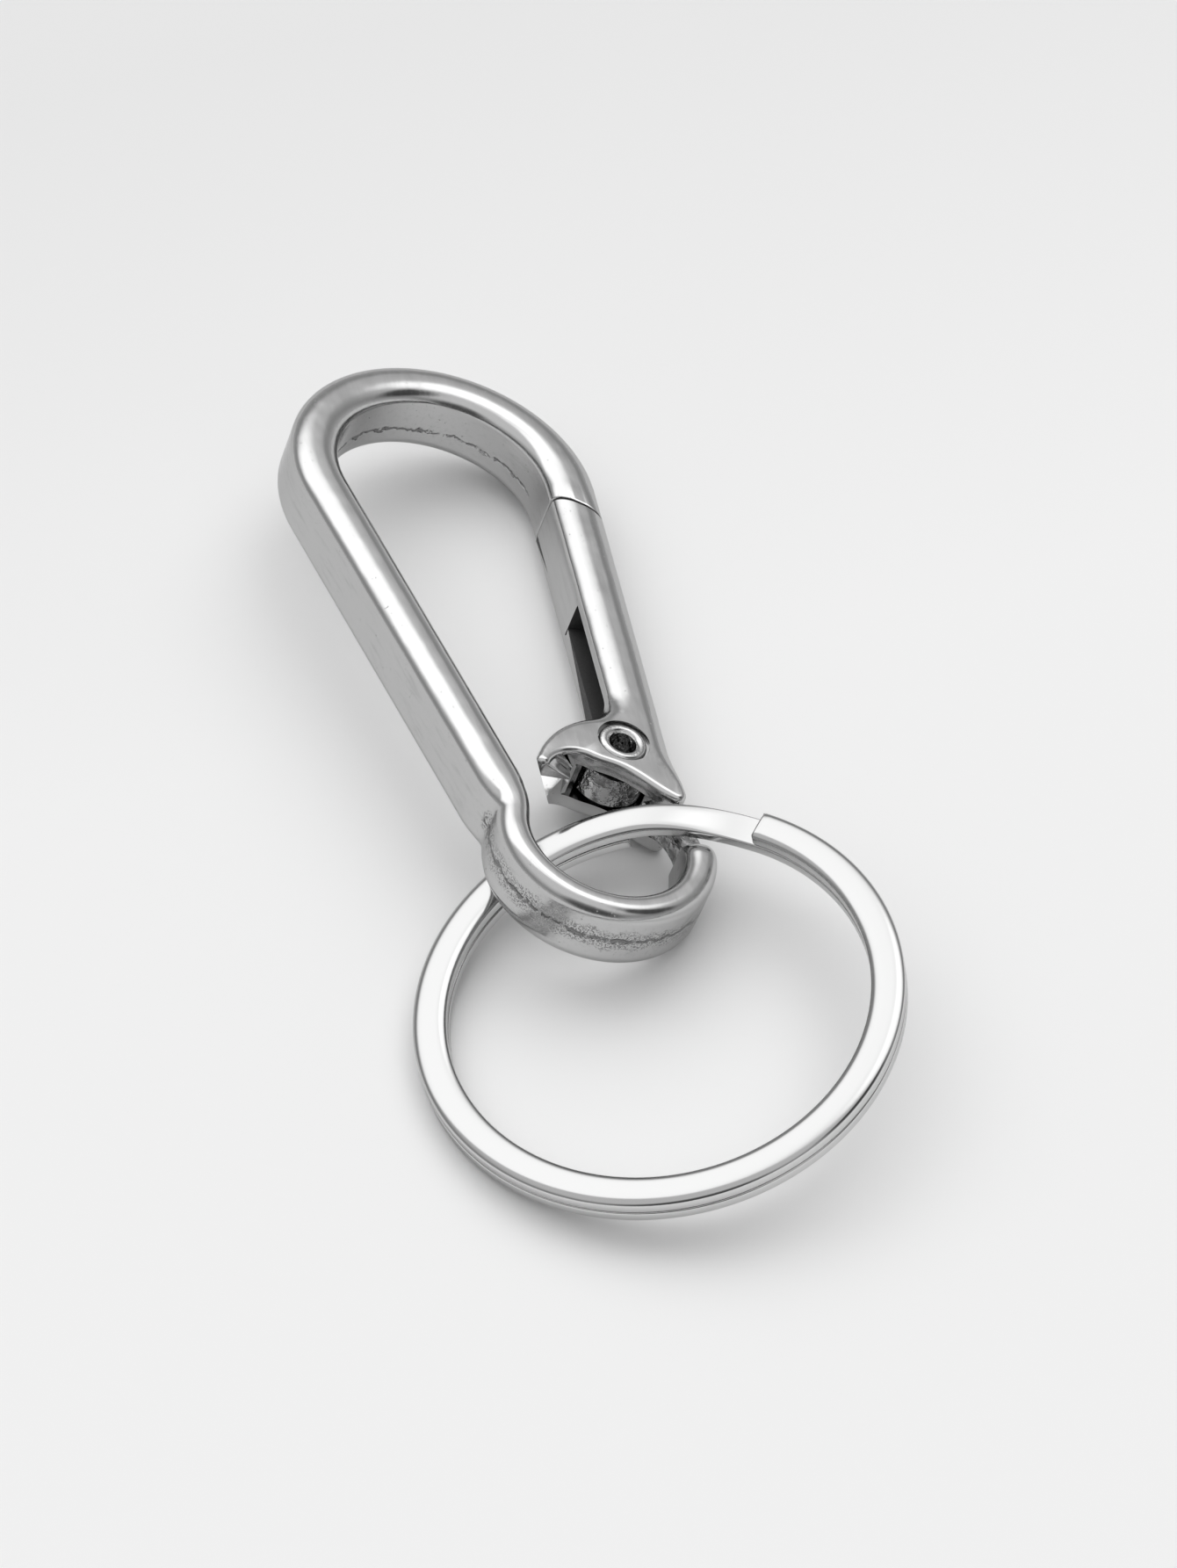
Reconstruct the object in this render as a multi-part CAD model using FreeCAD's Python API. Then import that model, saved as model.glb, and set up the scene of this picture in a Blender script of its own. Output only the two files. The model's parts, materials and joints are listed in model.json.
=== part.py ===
"""Belt key clip: a cast snap hook with a sprung gate, and a two-turn split ring through its eye.

The clip is drawn flat, with its bend centred on the origin, its eye towards -Y, its gate on the +X side
and its mid plane at Z = 0. Everything is then laid down as it rests on a table, with the clip leaning on
the ring. Millimetres, +Z up, origin on the table under the middle of the whole.
"""
import FreeCAD, Part
import math
import os
from FreeCAD import Placement, Rotation, Vector

os.makedirs("parts", exist_ok=True)

# Clip body
BEND_RADIUS = 8.95
EYE_DROP = 32.9
EYE_RADIUS = 6.1
LIMB_INSET = 1.16
LIMB_WIDTH = 3.0
LIMB_DEPTH = 5.1
LIMB_CORNER = 1.45
EYE_WIDTH = 2.1
EYE_DEPTH = 4.9
EYE_CORNER = 0.95
NECK_RADIUS = 3.6
EYE_END_ANGLE = -13.0
NOSE_WIDTH = 3.4
NOSE_BEVEL = 28.0

# Hinge
PIVOT_INSET = 2.5
PIVOT_RISE = 1.4
KNUCKLE_RADIUS = 2.35
KNUCKLE_THICK = 2.2
TONGUE_THICK = 1.6
TONGUE_WIDTH = 1.7
TONGUE_RISE_ANGLE = 12.0
TONGUE_ROOT_ANGLE = 12.0
RIVET_SHANK_D = 2.6
RIVET_HEAD_D = 3.2
RIVET_BORE_D = 2.1
RIVET_BORE_DEPTH = 1.9
RIVET_BORE_POINT = 0.4
RIVET_FOOT_RECESS = 0.06
RIVET_FOOT_CORNER = 0.15
RIVET_CROWN_RECESS = 0.02
RIVET_CROWN_LIP = 0.1
COUNTERBORE_D = 3.5
COUNTERBORE_DEPTH = 0.45
RIVET_FIT = 0.02
HINGE_FIT = 0.06

# Gate, drawn with the hinge at its origin and its length along +Y
NOSE_DROP = 2.2
GATE_OFFSET = 1.68
GATE_CORNER = 1.45
HEAD_CORNER = 0.8
LIP_CORNER = 0.38
BEAK_ROOT_RADIUS = 3.0
BEAK_BACK_X = 0.64
BEAK_BACK_Y = -4.9
BEAK_BACK_RADIUS = 7.4
BEAK_TIP_RADIUS = 0.45
BEAK_TIP_ANGLE = 156.0
BEAK_DRAFT = 28.0
BEAK_HOLLOW_X = -2.05
BEAK_HOLLOW_Y = -2.8
BEAK_HOLLOW_RADIUS = 1.9
ARCH_RADIUS = 2.15
ARCH_BEARING = -32.0
TAIL_Y = -4.2
TAIL_RADIUS = 0.6
SLOT_BOTTOM = 3.5
SLOT_LENGTH = 10.0
GATE_WALL = 0.9
HEAD_WALL = 0.7
NOSE_GAP = 0.1
SIDE_CLEARANCE = 0.3

# Gate spring
LEAF_THICK = 0.25
LEAF_WIDTH = 2.1

# Split ring
RING_OUTER_D = 30.0
WIRE_WIDTH = 2.07
WIRE_THICK = 0.95
WIRE_CORNER = 0.22
TURN_GAP = 0.08
RING_END_ANGLE = 43.0
RING_RAMP = 35.0
RAMP_STEPS = 12

# Resting place of the pieces
BODY_TILT = 18.6
RING_TILT = 9.8
RING_SHIFT = -0.3
RING_CROSSING = 2.3

FORK_GAP = KNUCKLE_THICK + 2 * SIDE_CLEARANCE
EYE_CENTRE = Vector(0, -EYE_DROP, 0)
PIVOT = EYE_CENTRE + Vector(EYE_RADIUS - PIVOT_INSET, EYE_RADIUS + PIVOT_RISE, 0)
UP = Vector(0, 0, 1)
LIMB_LEAN = math.degrees(math.asin((BEND_RADIUS - EYE_RADIUS + LIMB_INSET) / EYE_DROP))


def polar(centre, radius, angle):
    """A point at an angle in degrees on a flat circle."""
    a = math.radians(angle)
    return centre + Vector(radius * math.cos(a), radius * math.sin(a), 0)


# The gate leans so that its bar, offset from the hinge, lies in line with the end of the bend
PIVOT_BEARING = math.degrees(math.atan2(-PIVOT.y, PIVOT.x))
GATE_LEAN = PIVOT_BEARING - math.degrees(math.acos((BEND_RADIUS - GATE_OFFSET) / PIVOT.Length))
GATE_PLACE = Placement(PIVOT, Rotation(UP, -GATE_LEAN))
GATE_WIDTH = NOSE_WIDTH
GATE_DEPTH = LIMB_DEPTH
BEND_END = polar(Vector(), BEND_RADIUS, -GATE_LEAN)
GATE_LENGTH = GATE_PLACE.inverse().multVec(BEND_END).y - NOSE_DROP
GATE_INNER = GATE_OFFSET - GATE_WIDTH / 2
GATE_OUTER = GATE_OFFSET + GATE_WIDTH / 2


def arc(centre, radius, start, end):
    """A flat arc from one angle to another, either way round."""
    middle = polar(centre, radius, (start + end) / 2)
    return Part.Arc(polar(centre, radius, start), middle, polar(centre, radius, end)).toShape()


def line(a, b):
    return Part.LineSegment(a, b).toShape()


def bow(a, middle, b):
    """An arc through three points."""
    return Part.Arc(a, middle, b).toShape()


def box(x0, x1, y0, y1, z0, z1):
    return Part.makeBox(x1 - x0, y1 - y0, z1 - z0, Vector(x0, y0, z0))


def rounded_section(width, depth, corner, at, along):
    """A rounded rectangle square to a flat path: width across the path, depth along Z."""
    side = along.cross(UP)
    side.normalize()
    w = width / 2
    d = depth / 2
    k = corner * (1 - math.sqrt(0.5))

    def spot(x, z):
        return at + side * x + UP * z

    edges = []
    for sx, sz in ((1, 1), (-1, 1), (-1, -1), (1, -1)):
        end_on_side = spot(sx * w, sz * (d - corner))
        end_on_flat = spot(sx * (w - corner), sz * d)
        middle = spot(sx * (w - k), sz * (d - k))
        if sx * sz > 0:
            edges.append(bow(end_on_side, middle, end_on_flat))
        else:
            edges.append(bow(end_on_flat, middle, end_on_side))
    loop = []
    for i, corner_edge in enumerate(edges):
        following = edges[(i + 1) % 4]
        loop.append(corner_edge)
        loop.append(line(corner_edge.valueAt(corner_edge.LastParameter),
                         following.valueAt(following.FirstParameter)))
    return Part.Wire(loop)


def limb_directions():
    """Way down the long limb, and square to it away from the hook opening."""
    a = math.radians(LIMB_LEAN)
    return Vector(math.sin(a), -math.cos(a), 0), Vector(-math.cos(a), -math.sin(a), 0)


def swept(edges, stations):
    """A tube along flat edges, with rounded sections at given points."""
    shell = Part.BRepOffsetAPI.MakePipeShell(Part.Wire(edges))
    shell.setBiNormalMode(UP)
    for width, depth, corner, at, along in stations:
        shell.add(rounded_section(width, depth, corner, at, along))
    shell.build()
    shell.makeSolid()
    return shell.shape()


def neck():
    """Centre of the neck's bend, its end on the limb and its end angle on the eye."""
    down, outward = limb_directions()
    start = polar(Vector(), BEND_RADIUS, 180 + LIMB_LEAN)
    base = start + outward * NECK_RADIUS - EYE_CENTRE
    reach = EYE_RADIUS + NECK_RADIUS
    b = base.dot(down)
    along = -b - math.sqrt(b * b - base.dot(base) + reach * reach)
    centre = base + EYE_CENTRE + down * along
    to_neck = centre - EYE_CENTRE
    return centre, start + down * along, math.degrees(math.atan2(to_neck.y, to_neck.x))


def nose_start():
    """Point on the gate's middle line where the nose of the body is cut, before its bevel."""
    return GATE_PLACE.multVec(Vector(GATE_OFFSET, GATE_LENGTH, 0))


def make_clip_body():
    down, outward = limb_directions()
    nose_way = GATE_PLACE.Rotation.multVec(Vector(0, 1, 0))
    nose_low = BEND_END - nose_way * (NOSE_DROP + NOSE_WIDTH)
    limb_top = polar(Vector(), BEND_RADIUS, 180 + LIMB_LEAN)
    neck_centre, limb_end, eye_start = neck()
    neck_first = math.degrees(math.atan2(-outward.y, -outward.x))
    neck_last = eye_start - 180
    eye_end = 360 + EYE_END_ANGLE
    eye_way = Vector(-math.sin(math.radians(eye_start)), math.cos(math.radians(eye_start)), 0)
    limb = swept(
        [line(nose_low, BEND_END),
         arc(Vector(), BEND_RADIUS, -GATE_LEAN, 180 + LIMB_LEAN),
         line(limb_top, limb_end)],
        [(NOSE_WIDTH, LIMB_DEPTH, LIMB_CORNER, nose_low, nose_way),
         (LIMB_WIDTH, LIMB_DEPTH, LIMB_CORNER, limb_end, down)])
    neck_piece = swept(
        [arc(neck_centre, NECK_RADIUS, neck_first, neck_last)],
        [(LIMB_WIDTH, LIMB_DEPTH, LIMB_CORNER, limb_end, down),
         (EYE_WIDTH, EYE_DEPTH, EYE_CORNER, polar(EYE_CENTRE, EYE_RADIUS, eye_start), eye_way)])
    eye = swept(
        [arc(EYE_CENTRE, EYE_RADIUS, eye_start, eye_end)],
        [(EYE_WIDTH, EYE_DEPTH, EYE_CORNER, polar(EYE_CENTRE, EYE_RADIUS, eye_start), eye_way)])
    body = limb.multiFuse([neck_piece, eye]).removeSplitter()
    return body.cut(nose_cutter()).fuse(make_tongue()).removeSplitter()


def nose_cutter():
    """All that lies on the gate's side of the nose bevel."""
    reach = 2 * GATE_WIDTH
    tool = box(-reach, reach, -reach, 0, -GATE_DEPTH, GATE_DEPTH)
    tool.Placement = Placement(nose_start(), Rotation(UP, -GATE_LEAN - NOSE_BEVEL))
    return tool


def make_tongue():
    """The thin lug that rises from the eye between the gate's cheeks and ends in the hinge knuckle."""
    low = polar(EYE_CENTRE, EYE_RADIUS, TONGUE_RISE_ANGLE)
    half = TONGUE_WIDTH / 2
    inner = arc(EYE_CENTRE, EYE_RADIUS - half, EYE_END_ANGLE - TONGUE_ROOT_ANGLE, TONGUE_RISE_ANGLE)
    outer = arc(EYE_CENTRE, EYE_RADIUS + half, EYE_END_ANGLE - TONGUE_ROOT_ANGLE, TONGUE_RISE_ANGLE)
    ends = [line(inner.Vertexes[0].Point, outer.Vertexes[0].Point),
            line(inner.Vertexes[-1].Point, outer.Vertexes[-1].Point)]
    curve = Part.Face(Part.Wire(Part.__sortEdges__([inner, outer] + ends)))
    way = PIVOT - low
    way.normalize()
    side = way.cross(UP) * half
    link = Part.Face(Part.makePolygon([low - side, low + side, PIVOT + side, PIVOT - side, low - side]))
    joint = Part.Face(Part.Wire(Part.makeCircle(half, low)))
    plan = curve.multiFuse([link, joint]).removeSplitter()
    tongue = plan.extrude(Vector(0, 0, TONGUE_THICK))
    tongue.translate(Vector(0, 0, -TONGUE_THICK / 2))
    knuckle = Part.makeCylinder(KNUCKLE_RADIUS, KNUCKLE_THICK, PIVOT - UP * KNUCKLE_THICK / 2)
    bore = Part.makeCylinder(RIVET_SHANK_D / 2 + HINGE_FIT, 2 * KNUCKLE_THICK, PIVOT - UP * KNUCKLE_THICK)
    reach = 2 * KNUCKLE_RADIUS
    seat = box(leaf_face(), 2 * reach, -reach, reach, -KNUCKLE_THICK, KNUCKLE_THICK)
    seat.Placement = GATE_PLACE
    return tongue.fuse(knuckle).cut(bore).cut(seat)


def leaf_face():
    """Distance from the hinge line to the face of the spring that bears on the knuckle."""
    return GATE_OUTER - GATE_WALL - LEAF_THICK


def beak_tip():
    """Centre of the rounded point of the beak, which lies inside the curve of its back."""
    back = Vector(BEAK_BACK_X, BEAK_BACK_Y, 0)
    return polar(back, BEAK_BACK_RADIUS - BEAK_TIP_RADIUS, BEAK_TIP_ANGLE)


def gate_outline():
    """Edges of the gate's plan, with the corner radius that each edge starts and ends with."""
    inner = GATE_INNER
    outer = GATE_OUTER
    top = GATE_LENGTH + GATE_WIDTH
    back = Vector(BEAK_BACK_X, BEAK_BACK_Y, 0)
    reach = BEAK_BACK_RADIUS + BEAK_ROOT_RADIUS
    root_x = inner - BEAK_ROOT_RADIUS
    root_y = BEAK_BACK_Y + math.sqrt(reach ** 2 - (root_x - BEAK_BACK_X) ** 2)
    root = Vector(root_x, root_y, 0)
    root_angle = math.degrees(math.atan2(root_y - BEAK_BACK_Y, root_x - BEAK_BACK_X))
    tip = beak_tip()
    arch = polar(tip, BEAK_TIP_RADIUS + ARCH_RADIUS, ARCH_BEARING)
    tail = Vector(outer - TAIL_RADIUS, TAIL_Y, 0)
    way = tail - arch
    turn = math.degrees(math.asin((ARCH_RADIUS + TAIL_RADIUS) / way.Length))
    brow_angle = math.degrees(math.atan2(way.y, way.x)) + 90 - turn
    brow = line(polar(arch, ARCH_RADIUS, brow_angle), polar(tail, TAIL_RADIUS, brow_angle + 180))
    hip = Vector(outer, 0, 0)
    full = GATE_CORNER
    head = HEAD_CORNER
    lip = LIP_CORNER
    return [
        (line(Vector(inner, top, 0), Vector(inner, root_y, 0)), full, full),
        (arc(root, BEAK_ROOT_RADIUS, 0, root_angle - 180), full, head),
        (arc(back, BEAK_BACK_RADIUS, root_angle, BEAK_TIP_ANGLE), head, lip),
        (arc(tip, BEAK_TIP_RADIUS, BEAK_TIP_ANGLE, 360 + ARCH_BEARING), lip, lip),
        (arc(arch, ARCH_RADIUS, 180 + ARCH_BEARING, brow_angle), lip, lip),
        (brow, lip, lip),
        (arc(tail, TAIL_RADIUS, brow_angle + 180, 360), lip, lip),
        (line(Vector(outer, TAIL_Y, 0), hip), lip, full),
        (line(hip, Vector(outer, top, 0)), full, full),
        (line(Vector(outer, top, 0), Vector(inner, top, 0)), None, None),
    ]


def make_gate():
    outline = gate_outline()
    plan = Part.Face(Part.Wire([edge for edge, first, last in outline]))
    block = plan.extrude(Vector(0, 0, GATE_DEPTH))
    block.translate(Vector(0, 0, -GATE_DEPTH / 2))
    gate = rounded_block(block, outline).cut(beak_cutter())
    gate = gate.cut(gate_pocket())
    half = GATE_DEPTH / 2
    bore_radius = RIVET_SHANK_D / 2 + RIVET_FIT
    gate = gate.cut(Part.makeCylinder(bore_radius, 2 * GATE_DEPTH, Vector(0, 0, -GATE_DEPTH)))
    for z in (half - COUNTERBORE_DEPTH, -half - COUNTERBORE_DEPTH):
        gate = gate.cut(Part.makeCylinder(COUNTERBORE_D / 2, 2 * COUNTERBORE_DEPTH, Vector(0, 0, z)))
    gate.Placement = GATE_PLACE
    return gate.cut(nose_keeper())


def beak_cutter():
    """What the sloping end of the beak takes off, more towards its lower side."""
    reach = 2 * BEAK_BACK_RADIUS
    tool = box(-reach, 0, -reach, reach, -reach, reach)
    edge = Vector(beak_tip().x - BEAK_TIP_RADIUS, 0, GATE_DEPTH / 2 - LIP_CORNER)
    tool.Placement = Placement(edge, Rotation(Vector(0, 1, 0), -BEAK_DRAFT))
    return tool


def nose_keeper():
    """The body's side of the nose bevel, which the gate's end stops short of by the nose gap."""
    reach = 2 * GATE_WIDTH
    tool = box(-reach, reach, -NOSE_GAP, reach, -GATE_DEPTH, GATE_DEPTH)
    tool.Placement = Placement(nose_start(), Rotation(UP, -GATE_LEAN - NOSE_BEVEL))
    return tool


def rounded_block(block, outline):
    """The extruded gate with its upper and lower edges rounded, more along the bar than at the head."""
    document = FreeCAD.newDocument("rounding")
    base = document.addObject("Part::Feature", "block")
    base.Shape = block
    rounds = []
    for number, edge in enumerate(block.Edges, 1):
        middle = edge.valueAt((edge.FirstParameter + edge.LastParameter) / 2)
        if abs(abs(middle.z) - GATE_DEPTH / 2) > 1e-6:
            continue
        for drawn, first, last in outline:
            drawn_middle = drawn.valueAt((drawn.FirstParameter + drawn.LastParameter) / 2)
            if (Vector(middle.x, middle.y, 0) - drawn_middle).Length > 1e-6 or first is None:
                continue
            begin = edge.valueAt(edge.FirstParameter)
            drawn_begin = drawn.valueAt(drawn.FirstParameter)
            same_way = (Vector(begin.x, begin.y, 0) - drawn_begin).Length < 1e-6
            rounds.append((number, first, last) if same_way else (number, last, first))
    fillet = document.addObject("Part::Fillet", "rounded")
    fillet.Base = base
    fillet.Edges = rounds
    document.recompute()
    shape = fillet.Shape.copy()
    FreeCAD.closeDocument(document.Name)
    return shape


def gate_pocket():
    """The spring slot in the inner face, and the hollow between the cheeks that takes the tongue."""
    half = FORK_GAP / 2
    floor = GATE_OUTER - GATE_WALL
    slot_top = SLOT_BOTTOM + SLOT_LENGTH
    slot = box(-GATE_WIDTH, floor, SLOT_BOTTOM, slot_top, -half, half)
    channel = box(GATE_INNER + HEAD_WALL, floor, 0, SLOT_BOTTOM + 1, -half, half)
    well = Part.makeCylinder(KNUCKLE_RADIUS + SIDE_CLEARANCE, FORK_GAP, Vector(0, 0, -half))
    hollow = Vector(BEAK_HOLLOW_X, BEAK_HOLLOW_Y, 0)
    beak = Part.makeCylinder(BEAK_HOLLOW_RADIUS, FORK_GAP, hollow - UP * half)
    below = box(BEAK_HOLLOW_X, 2 * GATE_WIDTH, 3 * TAIL_Y, -KNUCKLE_RADIUS / 2, -half, half)
    return slot.multiFuse([channel, well, beak, below])


def make_rivet():
    """A tubular rivet: a plain head below, a rolled rim round an open bore above."""
    half = GATE_DEPTH / 2
    seat = half - COUNTERBORE_DEPTH
    shank = RIVET_SHANK_D / 2
    head = RIVET_HEAD_D / 2
    bore = RIVET_BORE_D / 2
    crown = (head + bore) / 2
    low = -half + RIVET_FOOT_RECESS
    high = half - RIVET_CROWN_RECESS
    lip = seat + RIVET_CROWN_LIP
    floor = half - RIVET_BORE_DEPTH
    corner = RIVET_FOOT_CORNER
    bulge = corner * (1 - math.sqrt(0.5))

    def at(r, z):
        return Vector(r, 0, z)

    edges = [
        line(at(0, low), at(head - corner, low)),
        bow(at(head - corner, low), at(head - bulge, low + bulge), at(head, low + corner)),
        line(at(head, low + corner), at(head, -seat)),
        line(at(head, -seat), at(shank, -seat)),
        line(at(shank, -seat), at(shank, seat)),
        line(at(shank, seat), at(head, seat)),
        line(at(head, seat), at(head, lip)),
        bow(at(head, lip), at(crown, high), at(bore, lip)),
        line(at(bore, lip), at(bore, floor)),
        line(at(bore, floor), at(0, floor - RIVET_BORE_POINT)),
        line(at(0, floor - RIVET_BORE_POINT), at(0, low)),
    ]
    rivet = Part.Face(Part.Wire(edges)).revolve(Vector(), UP, 360)
    rivet.Placement = GATE_PLACE
    return rivet


def make_spring():
    """A flat leaf on the floor of the slot, bearing on the flat of the knuckle."""
    top = SLOT_BOTTOM + SLOT_LENGTH
    low = -KNUCKLE_RADIUS / 4
    leaf = box(leaf_face(), leaf_face() + LEAF_THICK, low, top, -LEAF_WIDTH / 2, LEAF_WIDTH / 2)
    leaf.Placement = GATE_PLACE
    return leaf


def wire_section(angle, height):
    """The flat wire's section at an angle round the ring and a height on its axis."""
    radius = (RING_OUTER_D - WIRE_WIDTH) / 2
    along = Vector(-math.sin(math.radians(angle)), math.cos(math.radians(angle)), 0)
    at = polar(Vector(), radius, angle) + UP * height
    return rounded_section(WIRE_WIDTH, WIRE_THICK, WIRE_CORNER, at, along)


def make_ring():
    """Two flat turns joined by one ramp, drawn round the Z axis with the free ends beside the ramp."""
    pitch = WIRE_THICK + TURN_GAP
    turn = 360 - RING_RAMP
    upper_start = RING_END_ANGLE + RING_RAMP
    upper = Part.Face(wire_section(upper_start, pitch / 2)).revolve(Vector(), UP, turn)
    lower = Part.Face(wire_section(RING_END_ANGLE, -pitch / 2)).revolve(Vector(), UP, -turn)
    sections = []
    for i in range(RAMP_STEPS + 1):
        share = i / RAMP_STEPS
        height = -pitch / 2 * math.cos(math.pi * share)
        sections.append(wire_section(RING_END_ANGLE + RING_RAMP * share, height))
    ramp = Part.makeLoft(sections, True, False)
    return upper.multiFuse([ramp, lower]).removeSplitter()


def contact_line_tilt():
    """Turn that lays the clip on its gate side, about the line along its bend and eye."""
    bend_edge = BEND_RADIUS + LIMB_WIDTH / 2
    eye_edge = EYE_RADIUS + EYE_WIDTH / 2
    lean = math.asin((bend_edge - eye_edge) / EYE_DROP)
    return Rotation(Vector(math.sin(lean), math.cos(lean), 0), BODY_TILT)


def laid_down(clip_pieces, ring):
    """All pieces in their resting place on the table, centred on the origin."""
    tilt = contact_line_tilt()
    for shape in clip_pieces.values():
        shape.Placement = Placement(Vector(), tilt).multiply(shape.Placement)
    lowest = min(shape.optimalBoundingBox().ZMin for shape in clip_pieces.values())
    for shape in clip_pieces.values():
        shape.translate(UP * -lowest)
    eye = tilt.multVec(EYE_CENTRE)
    radius = RING_OUTER_D / 2
    slope = math.radians(RING_TILT)
    half_thick = WIRE_THICK + TURN_GAP / 2
    height = radius * math.sin(slope) + half_thick * math.cos(slope)
    centre = Vector(eye.x + RING_SHIFT, eye.y + RING_CROSSING - radius + WIRE_WIDTH / 2, height)
    ring.Placement = Placement(centre, Rotation(Vector(0, 1, 0), -RING_TILT))
    pieces = dict(clip_pieces, split_ring=ring)
    whole = Part.makeCompound(list(pieces.values())).optimalBoundingBox()
    shift = Vector(-whole.Center.x, -whole.Center.y, 0)
    for shape in pieces.values():
        shape.translate(shift)
    print("body origin", Vector(0, 0, -lowest) + shift)
    print("hinge point", tilt.multVec(PIVOT) + UP * -lowest + shift, "axis", tilt.multVec(UP))
    print("ring centre", centre + shift)
    print("eye centre", eye + UP * -lowest + shift)
    return pieces


clip = {
    "clip_body": make_clip_body(),
    "gate": make_gate(),
    "hinge_rivet": make_rivet(),
    "gate_spring": make_spring(),
}
for name, shape in laid_down(clip, make_ring()).items():
    box_of = shape.optimalBoundingBox()
    print(name, shape.isValid(), len(shape.Solids), round(shape.Volume, 2), box_of)
    shape.exportStep("parts/" + name + ".step")
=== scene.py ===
# %% [markdown]
# # A plated key clip with its split ring
# The clip is a cast hook that a sprung gate closes, with a flat-wire key ring through its eye. The
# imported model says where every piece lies, and the sizes below are those of its solids, but for some
# small forms. Polished metal shows each facet of a mesh, so the frame, the ring, the rivet and the
# spring are modelled again here, and the gate is a copy of its solid with smoothed faces.

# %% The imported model
import json
import math

import bpy
from mathutils import Matrix, Vector

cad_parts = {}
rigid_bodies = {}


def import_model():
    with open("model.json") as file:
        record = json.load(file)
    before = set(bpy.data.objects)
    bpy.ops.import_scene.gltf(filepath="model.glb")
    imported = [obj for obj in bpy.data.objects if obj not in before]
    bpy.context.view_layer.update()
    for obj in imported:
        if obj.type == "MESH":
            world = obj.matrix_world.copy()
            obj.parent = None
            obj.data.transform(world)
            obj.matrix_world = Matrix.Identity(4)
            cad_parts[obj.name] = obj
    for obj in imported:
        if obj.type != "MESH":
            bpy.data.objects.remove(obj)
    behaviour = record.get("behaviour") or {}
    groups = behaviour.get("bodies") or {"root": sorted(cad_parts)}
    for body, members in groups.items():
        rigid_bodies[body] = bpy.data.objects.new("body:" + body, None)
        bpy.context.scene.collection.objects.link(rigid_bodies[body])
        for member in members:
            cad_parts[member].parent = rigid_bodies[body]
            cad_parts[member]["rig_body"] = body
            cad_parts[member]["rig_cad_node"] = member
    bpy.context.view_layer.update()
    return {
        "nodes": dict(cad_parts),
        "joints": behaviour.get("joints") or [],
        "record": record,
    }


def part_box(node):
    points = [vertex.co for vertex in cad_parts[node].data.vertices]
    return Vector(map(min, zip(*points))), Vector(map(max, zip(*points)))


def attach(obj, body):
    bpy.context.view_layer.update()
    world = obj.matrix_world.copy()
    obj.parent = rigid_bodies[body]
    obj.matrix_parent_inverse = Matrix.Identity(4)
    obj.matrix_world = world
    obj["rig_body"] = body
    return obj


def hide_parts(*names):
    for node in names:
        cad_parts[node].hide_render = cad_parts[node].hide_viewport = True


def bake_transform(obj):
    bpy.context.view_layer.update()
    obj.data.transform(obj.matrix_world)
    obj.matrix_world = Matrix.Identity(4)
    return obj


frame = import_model()

# %% [markdown]
# ## The drawing
# The clip is drawn flat, in millimetres, with the centre of its bend at the origin and its eye towards
# -Y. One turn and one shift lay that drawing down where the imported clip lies. Both come from the gate's
# hinge: its axis is the drawing's Z axis, and its place is the pivot of the drawing. The gate is drawn
# round that pivot, and the ring has a drawing of its own.

# %% Sizes of the drawing, in millimetres
MM = 0.001
BEND_RADIUS = 8.95
EYE_DROP = 32.9
EYE_RADIUS = 6.1
LIMB_INSET = 1.16
NECK_RADIUS = 3.6
EYE_END_ANGLE = -13.0
NOSE_WIDTH = 3.4
LIMB_WIDTH = 3.0
LIMB_DEPTH = 5.1
LIMB_CORNER = 1.45
EYE_WIDTH = 2.1
EYE_DEPTH = 4.9
NOSE_DROP = 2.2
NOSE_BEVEL = 28.0
PIVOT_INSET = 2.5
PIVOT_RISE = 1.4
GATE_OFFSET = 1.68

EYE_CENTRE = Vector((0, -EYE_DROP, 0))
PIVOT = EYE_CENTRE + Vector((EYE_RADIUS - PIVOT_INSET, EYE_RADIUS + PIVOT_RISE, 0))
LIMB_LEAN = math.degrees(math.asin((BEND_RADIUS - EYE_RADIUS + LIMB_INSET) / EYE_DROP))
PIVOT_BEARING = math.degrees(math.atan2(-PIVOT.y, PIVOT.x))
GATE_LEAN = PIVOT_BEARING - math.degrees(math.acos((BEND_RADIUS - GATE_OFFSET) / PIVOT.length))
print("limb leans", round(LIMB_LEAN, 2), "gate leans", round(GATE_LEAN, 2))

# %% Places of the drawings
UP = Vector((0, 0, 1))
joints = {joint["name"]: joint for joint in frame["joints"]}
hinge = joints["gate_hinge"]
clip_turn = UP.rotation_difference(Vector(hinge["axis"])).to_matrix()
clip_shift = Vector(hinge["pos_m"]) - clip_turn @ PIVOT * MM
CLIP_PLACE = Matrix.Translation(clip_shift) @ clip_turn.to_4x4() @ Matrix.Scale(MM, 4)
GATE_PLACE = CLIP_PLACE @ Matrix.Translation(PIVOT) @ Matrix.Rotation(math.radians(-GATE_LEAN), 4, "Z")

ring_mount = next(m for m in frame["record"]["mounts"] if m["name"] == "key_ring")
ring_low, ring_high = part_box("split_ring")
ring_turn = UP.rotation_difference(Vector(ring_mount["axis"])).to_matrix()
RING_PLACE = Matrix.Translation((ring_low + ring_high) / 2) @ ring_turn.to_4x4() @ Matrix.Scale(MM, 4)
print("clip lies at", [round(x / MM, 2) for x in clip_shift], "mm")


# %% [markdown]
# ## Tools for modelling by hand
# A section is a rectangle with rounded corners, stood on edge. Spinning its loop of edges round a
# centre makes a bend, and extruding it makes a straight run. The spin operator turns clockwise for a
# positive angle, so `spin_on` gives it the other sign. After each step the new end of the tube is what
# is selected.

# %% Helpers for sections
EDGE_STEPS = 3
SMOOTH_ANGLE = 40


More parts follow.
